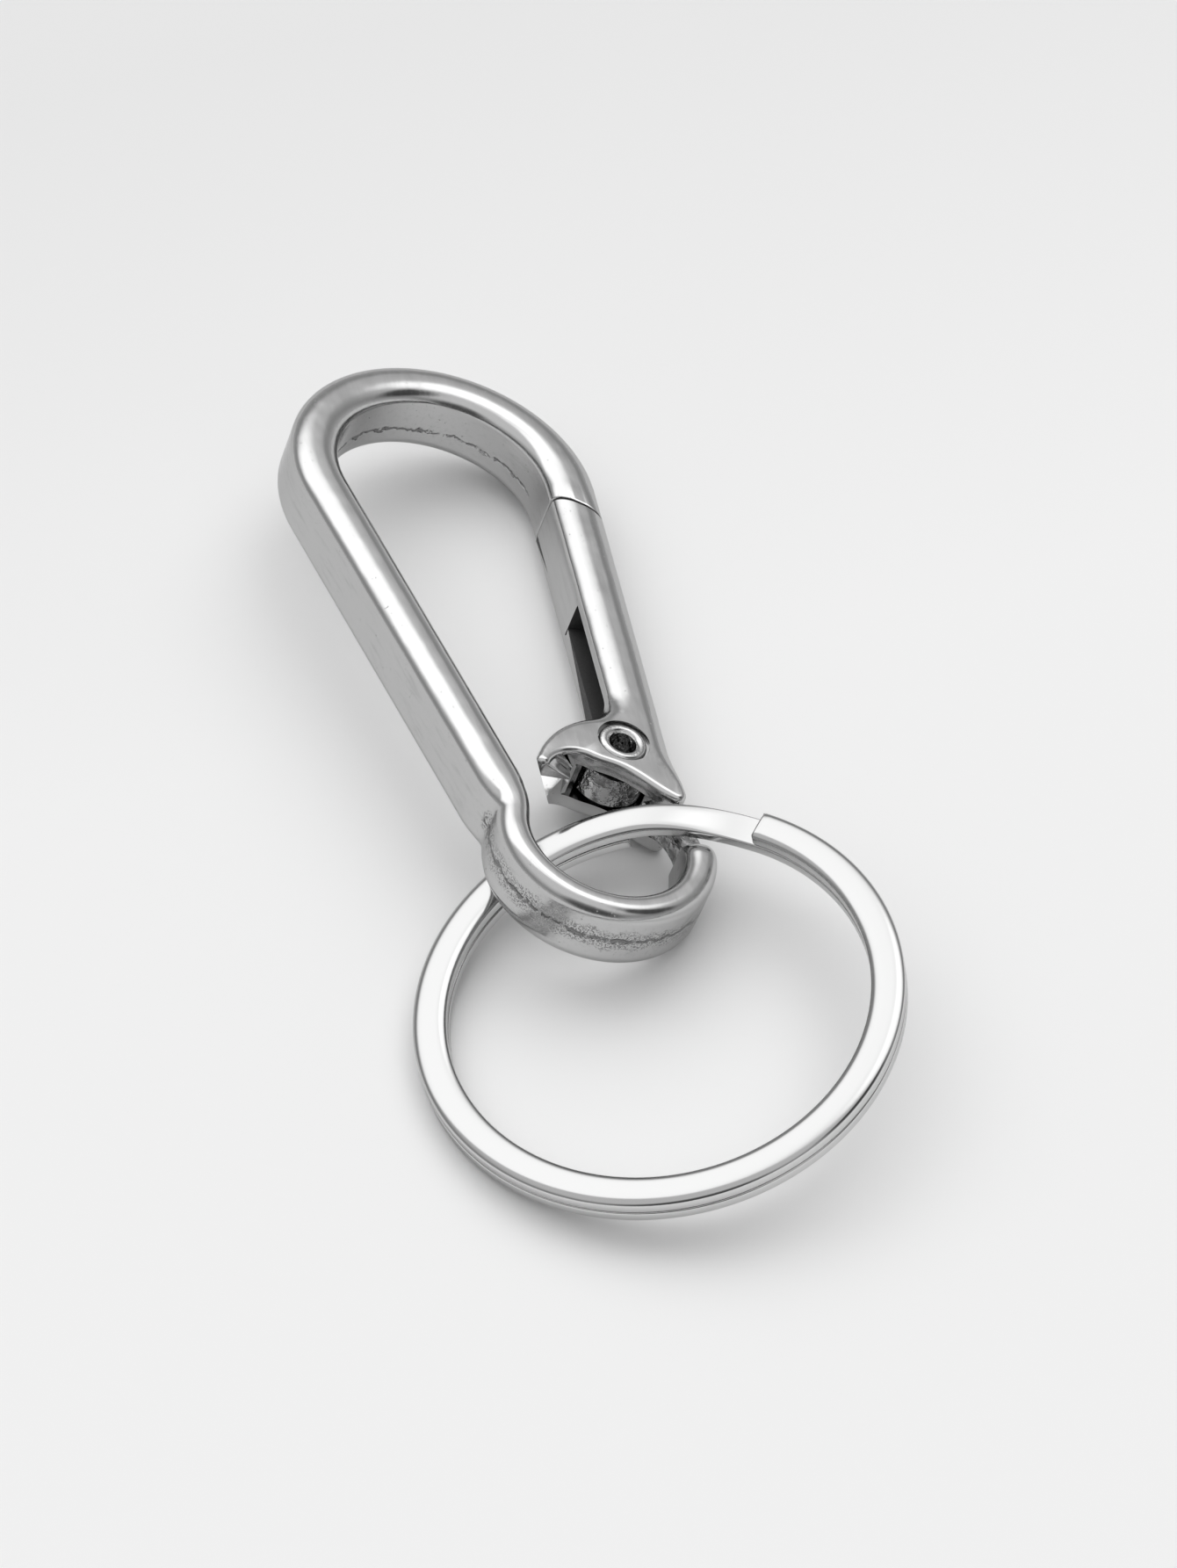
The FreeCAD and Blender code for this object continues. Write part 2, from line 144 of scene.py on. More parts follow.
def polar(centre, radius, angle):
    a = math.radians(angle)
    return centre + Vector((radius * math.cos(a), radius * math.sin(a), 0))


def edit(on):
    bpy.ops.object.mode_set(mode="EDIT" if on else "OBJECT")


def start_section(name, at, heading, width, depth, corner, segments):
    """A standing rounded rectangle with its width along a heading in degrees, as a loop of edges."""
    bpy.ops.object.select_all(action="DESELECT")
    bpy.ops.mesh.primitive_plane_add(size=1, location=at, rotation=(math.pi / 2, 0, math.radians(heading)))
    piece = bpy.context.object
    piece.name = name
    piece.scale = (width, depth, 1)
    bpy.ops.object.transform_apply(location=True, rotation=True, scale=True)
    edit(True)
    bpy.ops.mesh.select_all(action="SELECT")
    bpy.ops.mesh.bevel(offset=corner, offset_type="OFFSET", segments=segments, affect="VERTICES")
    bpy.ops.mesh.select_all(action="SELECT")
    bpy.ops.mesh.delete(type="ONLY_FACE")
    bpy.ops.mesh.select_all(action="SELECT")
    return piece


def spin_on(centre, angle, steps=1):
    bpy.ops.mesh.spin(steps=steps, angle=-math.radians(angle), center=centre, axis=(0, 0, 1))


def run_on(way):
    bpy.ops.mesh.extrude_edges_move(TRANSFORM_OT_translate={"value": way})


def resize_end(centre, across, deep):
    bpy.ops.transform.resize(value=(across, across, deep), center_override=centre)


def select_where(piece, test, mode="EDGE"):
    """Selects the vertices that pass a test, and with them the edges or faces between them."""
    edit(True)
    bpy.ops.mesh.select_mode(type="VERT")
    bpy.ops.mesh.select_all(action="DESELECT")
    edit(False)
    for vertex in piece.data.vertices:
        vertex.select = test(vertex.co)
    edit(True)
    bpy.ops.mesh.select_mode(type=mode)


def close_end(bevel):
    """Fills the selected end loop and rounds its edge."""
    bpy.ops.mesh.edge_face_add()
    bpy.ops.mesh.bevel(offset=bevel, segments=EDGE_STEPS, affect="EDGES", clamp_overlap=True)


def finish_mesh(piece, place):
    """Faces the mesh outwards, smooths it and lays it in its place in metres."""
    edit(True)
    bpy.ops.mesh.select_mode(type="VERT")
    bpy.ops.mesh.select_all(action="SELECT")
    bpy.ops.mesh.normals_make_consistent(inside=False)
    edit(False)
    bpy.ops.object.select_all(action="DESELECT")
    piece.select_set(True)
    bpy.context.view_layer.objects.active = piece
    piece.matrix_world = place
    bpy.ops.object.transform_apply(location=True, rotation=True, scale=True)
    bpy.ops.object.shade_smooth_by_angle(angle=math.radians(SMOOTH_ANGLE))
    weigh_normals(piece)
    faces = len(piece.data.polygons)
    print(piece.name, faces, "faces", [round(x / MM, 2) for x in piece.dimensions], "mm")


def weigh_normals(piece):
    """Lets broad faces decide the shading where they run into roundings."""
    weights = piece.modifiers.new("weights", "WEIGHTED_NORMAL")
    weights.keep_sharp = True
    bpy.ops.object.modifier_apply(modifier=weights.name)


# %% [markdown]
# ## The frame of the clip
# On the real clip this is one zinc casting. Its bar has a rounded section all the way, so it is swept:
# from the nose round the bend, down the long limb, through the neck and round the eye. A curve with a
# bevel could carry the section too, but the bar gets slimmer on the way, so each short step of the
# sweep is made by hand and followed by a small resize of its end.

# %% Path of the frame
BEND_STEP = 3.0
EYE_STEP = 3.0
LIMB_STEPS = 60
NECK_STEPS = 18
NECK_LEAD = 1.5
NOSE_ROUND = 0.26

bend_end = polar(Vector(), BEND_RADIUS, -GATE_LEAN)
gate_way = Vector((math.sin(math.radians(GATE_LEAN)), math.cos(math.radians(GATE_LEAN)), 0))
down = Vector((math.sin(math.radians(LIMB_LEAN)), -math.cos(math.radians(LIMB_LEAN)), 0))
outward = Vector((down.y, -down.x, 0))
limb_top = polar(Vector(), BEND_RADIUS, 180 + LIMB_LEAN)

to_limb = limb_top + outward * NECK_RADIUS - EYE_CENTRE
reach = EYE_RADIUS + NECK_RADIUS
lowered = to_limb.dot(down)
limb_length = -lowered - math.sqrt(lowered * lowered - to_limb.dot(to_limb) + reach * reach)
limb_end = limb_top + down * limb_length
neck_centre = limb_end + outward * NECK_RADIUS
to_neck = neck_centre - EYE_CENTRE
eye_start = math.degrees(math.atan2(to_neck.y, to_neck.x))
neck_turn = eye_start - 180 - LIMB_LEAN
print("limb", round(limb_length, 2), "mm long, neck turns", round(neck_turn, 1), "degrees")
print("eye starts at", round(eye_start, 1), "degrees")

# %% [markdown]
# The nose is where the gate shuts against the frame. It starts as one section of the bar, run out past
# the nose and cut off by a slanted plane. The faces of the real bar are low domes and not quarter
# circles, so the round corners of the section are pressed flatter before the sweep starts.

# %% Nose of the frame
DOME_RISE = 1.05
BAR_CORNER_STEPS = 14


def on_dome(height):
    """A height in the round corners of the bar, flattened so that each face becomes a low dome."""
    below = LIMB_DEPTH / 2 - abs(height)
    return math.copysign(LIMB_DEPTH / 2 - below * DOME_RISE / LIMB_CORNER, height)


clip_frame = start_section("clip_frame", bend_end, -GATE_LEAN, NOSE_WIDTH, LIMB_DEPTH, LIMB_CORNER,
                           BAR_CORNER_STEPS)
edit(False)
for vertex in clip_frame.data.vertices:
    vertex.co.z = on_dome(vertex.co.z)
edit(True)
bpy.ops.mesh.select_all(action="SELECT")
run_on(-gate_way * (NOSE_DROP + NOSE_WIDTH))
nose_turn = math.radians(GATE_LEAN + NOSE_BEVEL)
nose_way = Vector((math.sin(nose_turn), math.cos(nose_turn), 0))
nose_at = bend_end - gate_way * NOSE_DROP
bpy.ops.mesh.select_all(action="SELECT")
bpy.ops.mesh.bisect(plane_co=nose_at, plane_no=nose_way, use_fill=True, clear_inner=True)
bpy.ops.mesh.bevel(offset=NOSE_ROUND, segments=EDGE_STEPS, affect="EDGES", clamp_overlap=True)
print("nose is", NOSE_WIDTH, "by", LIMB_DEPTH, "mm, with faces domed by", DOME_RISE, "mm")

# %% Bend and long limb
SAME_PLACE = 1e-4

bend_turn = 180 + LIMB_LEAN + GATE_LEAN
bend_steps = round(bend_turn / BEND_STEP)
bend_length = math.radians(bend_turn) * BEND_RADIUS
full_length = bend_length + limb_length
neck_length = math.radians(abs(neck_turn)) * NECK_RADIUS


def neck_share(along):
    """How far the bar has slimmed from limb to eye, eased in and out."""
    share = (along - full_length + NECK_LEAD) / (NECK_LEAD + neck_length)
    share = min(max(share, 0.0), 1.0)
    return share * share * (3 - 2 * share)


def bar_width(along):
    limb = NOSE_WIDTH + (LIMB_WIDTH - NOSE_WIDTH) * min(along / full_length, 1.0)
    return limb + (EYE_WIDTH - limb) * neck_share(along)


def bar_depth(along):
    return LIMB_DEPTH + (EYE_DEPTH - LIMB_DEPTH) * neck_share(along)


def slim_end(end, before, along):
    """Brings the new end of the sweep to the width and depth of its place along the bar."""
    resize_end(end, bar_width(along) / bar_width(before), bar_depth(along) / bar_depth(before))


select_where(clip_frame, lambda co: abs((co - bend_end).dot(gate_way)) < SAME_PLACE)
before = 0.0
for i in range(1, bend_steps + 1):
    spin_on((0, 0, 0), bend_turn / bend_steps)
    along = bend_length * i / bend_steps
    slim_end(polar(Vector(), BEND_RADIUS, -GATE_LEAN + bend_turn * i / bend_steps), before, along)
    before = along
for i in range(1, LIMB_STEPS + 1):
    run_on(down * limb_length / LIMB_STEPS)
    along = bend_length + limb_length * i / LIMB_STEPS
    slim_end(limb_top + down * limb_length * i / LIMB_STEPS, before, along)
    before = along
print("bar is", round(bar_width(along), 3), "mm wide at the neck")

# %% [markdown]
# The neck is a short bend the other way, and it slims the bar to the size of the eye. The eye is then
# one long spin. At its free end the casting gets lower, like a shoulder, where the hinge tongue leaves
# it, so the last degrees are spun in small steps, and each step is made a little lower than the one
# before.

# %% Neck and eye
SHOULDER_REACH = 6.0
SHOULDER_TURN = 14.0
SHOULDER_STEPS = 10
SHOULDER_DEPTH = 0.70

for i in range(1, NECK_STEPS + 1):
    spin_on(neck_centre, neck_turn / NECK_STEPS)
    along = full_length + neck_length * i / NECK_STEPS
    slim_end(polar(neck_centre, NECK_RADIUS, LIMB_LEAN + neck_turn * i / NECK_STEPS), before, along)
    before = along
eye_turn = 360 + EYE_END_ANGLE + SHOULDER_REACH - eye_start
even_turn = eye_turn - SHOULDER_TURN
spin_on(EYE_CENTRE, even_turn, round(even_turn / EYE_STEP))
before = 1.0
for i in range(1, SHOULDER_STEPS + 1):
    turned = SHOULDER_TURN * i / SHOULDER_STEPS
    spin_on(EYE_CENTRE, SHOULDER_TURN / SHOULDER_STEPS)
    depth = SHOULDER_DEPTH + (1 - SHOULDER_DEPTH) * math.cos(math.pi / 2 * i / SHOULDER_STEPS)
    resize_end(polar(EYE_CENTRE, EYE_RADIUS, eye_start + even_turn + turned), 1.0, depth / before)
    before = depth
close_end(NOSE_ROUND)
print("eye turns", round(eye_turn, 1), "degrees")
finish_mesh(clip_frame, CLIP_PLACE)

# %% [markdown]
# ## The hinge tongue
# A thin lug rises from the end of the eye and carries the knuckle that the rivet goes through. It is
# part of the same casting. Most of it is hidden between the cheeks of the gate, and it shows in the
# throat of the eye. It is a small sweep with a disc at its end, cut flat where the spring bears on it.

# %% Tongue
TONGUE_WIDTH = 1.7
TONGUE_THICK = 1.6
TONGUE_CORNER = 0.25
TONGUE_RISE_ANGLE = 12.0
TONGUE_ROOT_ANGLE = 12.0
TONGUE_RUN = 0.45
TONGUE_STEPS = 14
TONGUE_CORNER_STEPS = 4
SAME_ANGLE = 0.01

tongue_start = EYE_END_ANGLE - TONGUE_ROOT_ANGLE
hinge_tongue = start_section("hinge_tongue", polar(EYE_CENTRE, EYE_RADIUS, tongue_start), tongue_start,
                             TONGUE_WIDTH, TONGUE_THICK, TONGUE_CORNER, TONGUE_CORNER_STEPS)
spin_on(EYE_CENTRE, TONGUE_RISE_ANGLE - tongue_start, TONGUE_STEPS)
tongue_end = polar(EYE_CENTRE, EYE_RADIUS, TONGUE_RISE_ANGLE)
run_on((PIVOT - tongue_end) * TONGUE_RUN)
close_end(TONGUE_CORNER)


def at_tongue_root(co):
    """True on the open end of the tongue inside the eye."""
    bearing = math.degrees(math.atan2(co.y + EYE_DROP, co.x))
    return abs(bearing - tongue_start) < SAME_ANGLE


select_where(hinge_tongue, at_tongue_root)
bpy.ops.mesh.edge_face_add()
edit(False)
print("tongue", len(hinge_tongue.data.polygons), "faces")

# %% Knuckle
KNUCKLE_RADIUS = 2.35
KNUCKLE_THICK = 2.2
KNUCKLE_BORE = 1.36
FULL_ROUND = 72
GATE_WALL = 0.9
LEAF_THICK = 0.25
GATE_INNER = GATE_OFFSET - NOSE_WIDTH / 2
GATE_OUTER = GATE_OFFSET + NOSE_WIDTH / 2
LEAF_FACE = GATE_OUTER - GATE_WALL - LEAF_THICK
LYING_FLAT = 0.9

bpy.ops.object.select_all(action="DESELECT")
bpy.ops.mesh.primitive_cylinder_add(vertices=FULL_ROUND, radius=KNUCKLE_RADIUS, depth=KNUCKLE_THICK,
                                    location=PIVOT)
knuckle = bpy.context.object
edit(True)
bpy.ops.mesh.select_mode(type="FACE")
bpy.ops.mesh.select_all(action="DESELECT")
edit(False)
for face in knuckle.data.polygons:
    face.select = abs(face.normal.z) > LYING_FLAT
edit(True)
bpy.ops.mesh.inset(thickness=KNUCKLE_RADIUS - KNUCKLE_BORE, use_individual=True)
bpy.ops.mesh.bridge_edge_loops()
bpy.ops.mesh.select_all(action="SELECT")
flat_way = Vector((gate_way.y, -gate_way.x, 0))
bpy.ops.mesh.bisect(plane_co=PIVOT + flat_way * LEAF_FACE, plane_no=flat_way, use_fill=True,
                    clear_outer=True)
edit(False)
bpy.ops.object.select_all(action="DESELECT")
hinge_tongue.select_set(True)
knuckle.select_set(True)
bpy.context.view_layer.objects.active = hinge_tongue
bpy.ops.object.join()
finish_mesh(hinge_tongue, CLIP_PLACE)

# %% [markdown]
# ## The split ring
# A split ring is one flat wire wound twice round. It lies flat for almost a whole turn, climbs by its
# own thickness in a short ramp, and lies flat again. The screw operator would climb all the way, so
# each turn is one spin of the wire's section, and the ramp is a row of short spins with a small lift
# after each, eased in and out as the wire bends. Polishing in a drum has worn the open faces to a
# slight crown, so their edges are lowered last, while the faces in the seam stay flat.

# %% Split ring
RING_OUTER_D = 30.0
WIRE_WIDTH = 2.07
WIRE_THICK = 0.95
WIRE_CORNER = 0.14
WIRE_CORNER_STEPS = 5
CROWN_CUTS = 15
TURN_GAP = 0.08
RING_END_ANGLE = 43.0
RING_RAMP = 35.0
RAMP_STEPS = 24
TURN_STEPS = 160
WIRE_END_ROUND = 0.14

wire_radius = (RING_OUTER_D - WIRE_WIDTH) / 2
pitch = WIRE_THICK + TURN_GAP
flat_turn = 360 - RING_RAMP
lower_end = RING_END_ANGLE - flat_turn
lower_at = polar(Vector((0, 0, -pitch / 2)), wire_radius, lower_end)
key_ring = start_section("key_ring_wire", lower_at, lower_end, WIRE_WIDTH, WIRE_THICK, WIRE_CORNER,
                         WIRE_CORNER_STEPS)
select_where(key_ring, lambda co: abs(abs(co.z - lower_at.z) - WIRE_THICK / 2) < SAME_PLACE)
bpy.ops.mesh.subdivide(number_cuts=CROWN_CUTS)
bpy.ops.mesh.select_all(action="SELECT")
spin_on((0, 0, 0), flat_turn, TURN_STEPS)
height = -pitch / 2
for i in range(1, RAMP_STEPS + 1):
    spin_on((0, 0, 0), RING_RAMP / RAMP_STEPS)
    climb = -pitch / 2 * math.cos(math.pi * i / RAMP_STEPS) - height
    bpy.ops.transform.translate(value=(0, 0, climb))
    height += climb
spin_on((0, 0, 0), flat_turn, TURN_STEPS)
close_end(WIRE_END_ROUND)
edit(False)
print("wire is", round(math.radians(2 * flat_turn + RING_RAMP) * wire_radius, 1), "mm long")

# %% Lower end of the wire
END_SLACK = 1e-3


def at_lower_end(co):
    """True on the flat end of the lower turn."""
    off = co - lower_at
    square_to_end = polar(Vector(), 1, lower_end + 90)
    return off.length < WIRE_WIDTH and abs(off.dot(square_to_end)) < END_SLACK


select_where(key_ring, lambda co: at_lower_end(co) and co.z < -TURN_GAP / 4)
close_end(WIRE_END_ROUND)
edit(False)
print("ring", len(key_ring.data.polygons), "faces with both ends closed")

# %% Crown of the wire
WIRE_CROWN = 0.24
CROWN_POWER = 4

for vertex in key_ring.data.vertices:
    turned = (math.degrees(math.atan2(vertex.co.y, vertex.co.x)) - RING_END_ANGLE) % 360
    upper = 1.0 if vertex.co.z > 0 else 0.0
    if turned < RING_RAMP:
        upper = (1 - math.cos(math.pi * turned / RING_RAMP)) / 2
    off_middle = (vertex.co.z - pitch * (upper - 0.5)) / (WIRE_THICK / 2)
    across = abs(vertex.co.xy.length - wire_radius) / (WIRE_WIDTH / 2)
    open_side = upper if off_middle > 0 else 1 - upper
    vertex.co.z -= WIRE_CROWN * open_side * across ** CROWN_POWER * off_middle
finish_mesh(key_ring, RING_PLACE)

# %% [markdown]
# ## The hinge rivet
# The rivet is a tube with a plain foot below and a thick rim rolled over above. A lathe would make it,
# so it grows from one ring of edges: each station is an extrude followed by a resize, as on a turned
# profile.

# %% Profile of the rivet
RIVET_SHANK = 1.3
RIVET_HEAD = 1.6
RIVET_BORE = 0.9
RIVET_BORE_DEPTH = 1.9
RIVET_BORE_POINT = 0.4
COUNTERBORE_DEPTH = 0.45
RIVET_LIP = 0.1
RIVET_RECESS = 0.02
RIVET_FOOT_RECESS = 0.06
RIVET_FOOT_ROUND = 0.15
RIM_STEPS = 12
FOOT_STEPS = 5
POINT_AT = 0.5

half_depth = LIMB_DEPTH / 2
seat = half_depth - COUNTERBORE_DEPTH
foot = -half_depth + RIVET_FOOT_RECESS
bore_floor = half_depth - RIVET_BORE_DEPTH
crown = (RIVET_HEAD + RIVET_BORE) / 2
rim_rise = half_depth - RIVET_RECESS - seat - RIVET_LIP
rim_half = (RIVET_HEAD - RIVET_BORE) / 2
foot_angles = [math.pi / 2 * i / FOOT_STEPS for i in range(FOOT_STEPS + 1)]
rim_angles = [math.pi * i / RIM_STEPS for i in range(RIM_STEPS + 1)]
foot_round = [(RIVET_HEAD - RIVET_FOOT_ROUND * (1 - math.sin(a)),
               foot + RIVET_FOOT_ROUND * (1 - math.cos(a))) for a in foot_angles]
rim = [(crown + rim_half * math.cos(a), seat + RIVET_LIP + rim_rise * math.sin(a)) for a in rim_angles]
bore = [(RIVET_BORE, bore_floor), (RIVET_BORE * POINT_AT, bore_floor - RIVET_BORE_POINT * POINT_AT)]
profile = [*foot_round, (RIVET_HEAD, -seat), (RIVET_SHANK, -seat), (RIVET_SHANK, seat), (RIVET_HEAD, seat),
           *rim, *bore]
print("rivet profile has", len(profile), "stations")

# %% Rivet
bpy.ops.object.select_all(action="DESELECT")
bpy.ops.mesh.primitive_circle_add(vertices=FULL_ROUND, radius=profile[0][0], fill_type="NGON",
                                  location=(0, 0, profile[0][1]))
rivet = bpy.context.object
rivet.name = "rivet_tube"
bpy.ops.object.transform_apply(location=True)
edit(True)
bpy.ops.mesh.select_mode(type="EDGE")
bpy.ops.mesh.select_all(action="SELECT")
for (radius, level), (next_radius, next_level) in zip(profile, profile[1:]):
    run_on((0, 0, next_level - level))
    bpy.ops.transform.resize(value=(next_radius / radius, next_radius / radius, 1),
                             center_override=(0, 0, next_level))
bpy.ops.mesh.edge_face_add()
bpy.ops.mesh.poke()
finish_mesh(rivet, GATE_PLACE)

# %% [markdown]
# ## The gate
# The gate is a second casting: a lever with a slot for the spring, a fork for the hinge and a beak that
# closes the throat of the eye. Its solid already has all of these with every rounding, so a copy of it
# is used, with its triangles merged into one skin. Modelling it again from a box would be long, and
# would gain little.

# %% Copy of the gate
SAME_POINT = 2e-6

bpy.ops.object.select_all(action="DESELECT")
gate = frame["nodes"]["gate"].copy()
gate.data = gate.data.copy()
gate.name = "gate_lever"
gate.parent = None
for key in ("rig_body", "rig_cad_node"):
    del gate[key]
bpy.context.scene.collection.objects.link(gate)
gate.select_set(True)
bpy.context.view_layer.objects.active = gate
edit(True)
bpy.ops.mesh.select_all(action="SELECT")
bpy.ops.mesh.customdata_custom_splitnormals_clear()
bpy.ops.mesh.remove_doubles(threshold=SAME_POINT)
edit(False)
print("gate copied with", len(gate.data.vertices), "points")

# %% [markdown]
# Four small forms of the casting are then brought out on the copy. The edge of its mouth is arched, the
# beak is drawn back between its two lips, the slot gets a broader lip on its far side, and the lever
# gets the same low dome as the frame's bar. Each of them moves points, and a flat face has points only
# at its corners, so the copy is first cut along a few planes.

# %% Cuts across the gate
LIP_FROM = 2.6
LIP_FULL = 3.2
LIPS_APART = 1.3
LIP_EDGE = 0.1
DOME_FROM = 2.2
BROW_FROM = Vector((-2.35, -1.64, 0))
BROW_TO = Vector((2.46, -4.71, 0))
BROW_PARTS = 14

to_gate = GATE_PLACE.inverted()
brow = BROW_TO - BROW_FROM
brow_way = brow.normalized()
brow_up = Vector((-brow_way.y, brow_way.x, 0))
edit(True)
for level in (LIP_FROM, LIP_FULL):
    bpy.ops.mesh.select_all(action="SELECT")
    bpy.ops.mesh.bisect(plane_co=GATE_PLACE @ Vector((0, level, 0)), plane_no=clip_turn @ gate_way)
for level in (-LIPS_APART, -LIPS_APART + LIP_EDGE, LIPS_APART - LIP_EDGE, LIPS_APART):
    bpy.ops.mesh.select_all(action="SELECT")
    bpy.ops.mesh.bisect(plane_co=GATE_PLACE @ Vector((0, 0, level)), plane_no=clip_turn @ UP)
for i in range(1, BROW_PARTS):
    select_where(gate, lambda co: (to_gate @ co).y < DOME_FROM, "FACE")
    bpy.ops.mesh.bisect(plane_co=GATE_PLACE @ (BROW_FROM + brow * i / BROW_PARTS),
                        plane_no=(GATE_PLACE.to_3x3() @ brow_way).normalized())
edit(False)
print("gate cut to", len(gate.data.vertices), "points")

# %% Mouth and beak
FORK_GAP = 2.8
BROW_RISE = 0.4
BROW_LEAN = 0.75
BROW_LIP = 0.42
BROW_FADE = 0.88
BEAK_ROOT = -2.95
BEAK_LEFT = 0.3
NEAR = 0.05


def arch_mouth(spot):
    """Lifts the lower edges of the cheeks into an arch that is highest towards the beak."""
    along = (spot - BROW_FROM).dot(brow_way) / brow.length
    above = (spot - BROW_FROM).dot(brow_up)
    if 0 < along < 1 and above < BROW_FADE and abs(spot.z) > FORK_GAP / 2 - NEAR:
        share = min((BROW_FADE - above) / (BROW_FADE - BROW_LIP), 1.0)
        spot += brow_up * BROW_RISE * math.sin(math.pi * along ** BROW_LEAN) ** 2 * share


def draw_back_beak(spot):
    """Shortens the beak between its lips, so that its mouth is open."""
    if spot.x < BEAK_ROOT and abs(spot.z) < LIPS_APART - NEAR:
        spot.x = BEAK_ROOT + (spot.x - BEAK_ROOT) * BEAK_LEFT


print("mouth rises", BROW_RISE, "mm, and the beak is drawn back past", BEAK_ROOT, "mm")

# %% Slot lip and dome
SLOT_TOP = 13.5
SLOT_SLOPE = 0.5
LIP = 0.7
DOME_FULL = 5.0
CLOSE = 0.02


def widen_lip(spot):
    """Broadens the far lip of the spring slot."""
    in_slot = LIP_FROM < spot.y < SLOT_TOP + SLOT_SLOPE and spot.x < GATE_OUTER - GATE_WALL + NEAR
    if in_slot and abs(spot.z + FORK_GAP / 2) < CLOSE:
        spot.z += LIP * min((spot.y - LIP_FROM) / (LIP_FULL - LIP_FROM), 1.0)


def lay_on_dome(spot):
    """Presses the lever's round corners flatter, eased in above the hinge."""
    if spot.y < DOME_FROM or abs(spot.z) < FORK_GAP / 2 + CLOSE:
        return
    share = min((spot.y - DOME_FROM) / (DOME_FULL - DOME_FROM), 1.0)
    share = share * share * (3 - 2 * share)
    spot.z += (on_dome(spot.z) - spot.z) * share


print("slot lip is", LIP, "mm broader")

# %% Gate in its final shape
GATE_SMOOTH_ANGLE = 32

moved = 0
for vertex in gate.data.vertices:
    spot = to_gate @ vertex.co
    shaped = spot.copy()
    for form in (arch_mouth, draw_back_beak, widen_lip, lay_on_dome):
        form(shaped)
    if shaped != spot:
        vertex.co = GATE_PLACE @ shaped
        moved += 1
bpy.ops.object.shade_smooth_by_angle(angle=math.radians(GATE_SMOOTH_ANGLE))
weigh_normals(gate)
print("gate has", len(gate.data.polygons), "faces and", moved, "moved points")

# %% [markdown]
# ## The gate spring
# A leaf of dark steel lies on the floor of the slot and bears on the flat of the knuckle. It lies to
# one side, clear of the slot's broad lip. It starts as a flat strip, and gets its thickness and small
# rounded edges from modifiers.

# %% Leaf spring
LEAF_WIDTH = 1.6
LEAF_SIDE = 0.25
LEAF_PLAY = 0.02
LEAF_LOW = -KNUCKLE_RADIUS / 4
LEAF_ROUND = 0.05
LEAF_CUTS = 24

leaf_length = SLOT_TOP - LEAF_LOW - 2 * LEAF_ROUND
leaf_at = (LEAF_FACE + LEAF_THICK / 2, LEAF_LOW + leaf_length / 2 + LEAF_ROUND, LEAF_SIDE)
bpy.ops.object.select_all(action="DESELECT")
bpy.ops.mesh.primitive_grid_add(x_subdivisions=2, y_subdivisions=LEAF_CUTS, size=1, location=leaf_at,
                                rotation=(0, math.pi / 2, 0))
leaf = bpy.context.object
leaf.name = "leaf_spring"
leaf.scale = (LEAF_WIDTH, leaf_length, 1)
bpy.ops.object.transform_apply(location=True, rotation=True, scale=True)
thicken = leaf.modifiers.new("thicken", "SOLIDIFY")
thicken.thickness = LEAF_THICK - LEAF_PLAY
thicken.offset = 0
bpy.ops.object.modifier_apply(modifier=thicken.name)
soften = leaf.modifiers.new("soften", "BEVEL")
soften.width = LEAF_ROUND
soften.segments = 2
soften.limit_method = "ANGLE"
bpy.ops.object.modifier_apply(modifier=soften.name)
finish_mesh(leaf, GATE_PLACE)


# %% [markdown]
# ## Finishes
# The castings, the ring and the rivet are nickel plated, and grey throughout. What tells them apart is
# how they were polished. A casting keeps slow waves and pits under its plating, the wire of the ring
# has narrow sides brightened by a painted reflection, and the spring in the slot is bare and dark. A
# picture of metal would bring its own light with it, so the patterns are noise. They read each piece's
# place in its own drawing, in millimetres, so they stay on the metal when it moves.

# %% Helpers for node trees
EDGE_TINT = 0.75


def grey(level):
    return (level, level, level, 1)


def place_mapping(nodes, links, place):
    """Object coordinates turned back into the millimetres of a drawing."""
    coordinates = nodes.new("ShaderNodeTexCoord")
    mapping = nodes.new("ShaderNodeMapping")
    back = place.inverted()
    mapping.inputs["Location"].default_value = back.translation
    mapping.inputs["Rotation"].default_value = back.to_3x3().normalized().to_euler()
    mapping.inputs["Scale"].default_value = (1 / MM, 1 / MM, 1 / MM)
    links.new(coordinates.outputs["Object"], mapping.inputs["Vector"])
    return mapping.outputs["Vector"]


def stretched(nodes, links, vector, scale):
    mapping = nodes.new("ShaderNodeMapping")
    mapping.inputs["Scale"].default_value = scale
    links.new(vector, mapping.inputs["Vector"])
    return mapping.outputs["Vector"]


def noise(nodes, links, vector, scale, detail, rough=0.5):
    texture = nodes.new("ShaderNodeTexNoise")
    texture.inputs["Scale"].default_value = scale
    texture.inputs["Detail"].default_value = detail
    texture.inputs["Roughness"].default_value = rough
    links.new(vector, texture.inputs["Vector"])
    return texture.outputs["Fac"]


def spread(nodes, links, value, low, high, to_low, to_high):
    """A value range from low to high stretched to another, with the ends held."""
    stretch = nodes.new("ShaderNodeMapRange")
    stretch.inputs["From Min"].default_value = low
    stretch.inputs["From Max"].default_value = high
    stretch.inputs["To Min"].default_value = to_low
    stretch.inputs["To Max"].default_value = to_high
    links.new(value, stretch.inputs["Value"])
    return stretch.outputs["Result"]


def tone_between(nodes, links, share, first, last):
    """A grey that goes from one level to another as a share goes from 0 to 1."""
    ramp = nodes.new("ShaderNodeValToRGB")
    ramp.color_ramp.elements[0].color = grey(first)
    ramp.color_ramp.elements[1].color = grey(last)
    links.new(share, ramp.inputs["Fac"])
    return ramp.outputs["Color"]


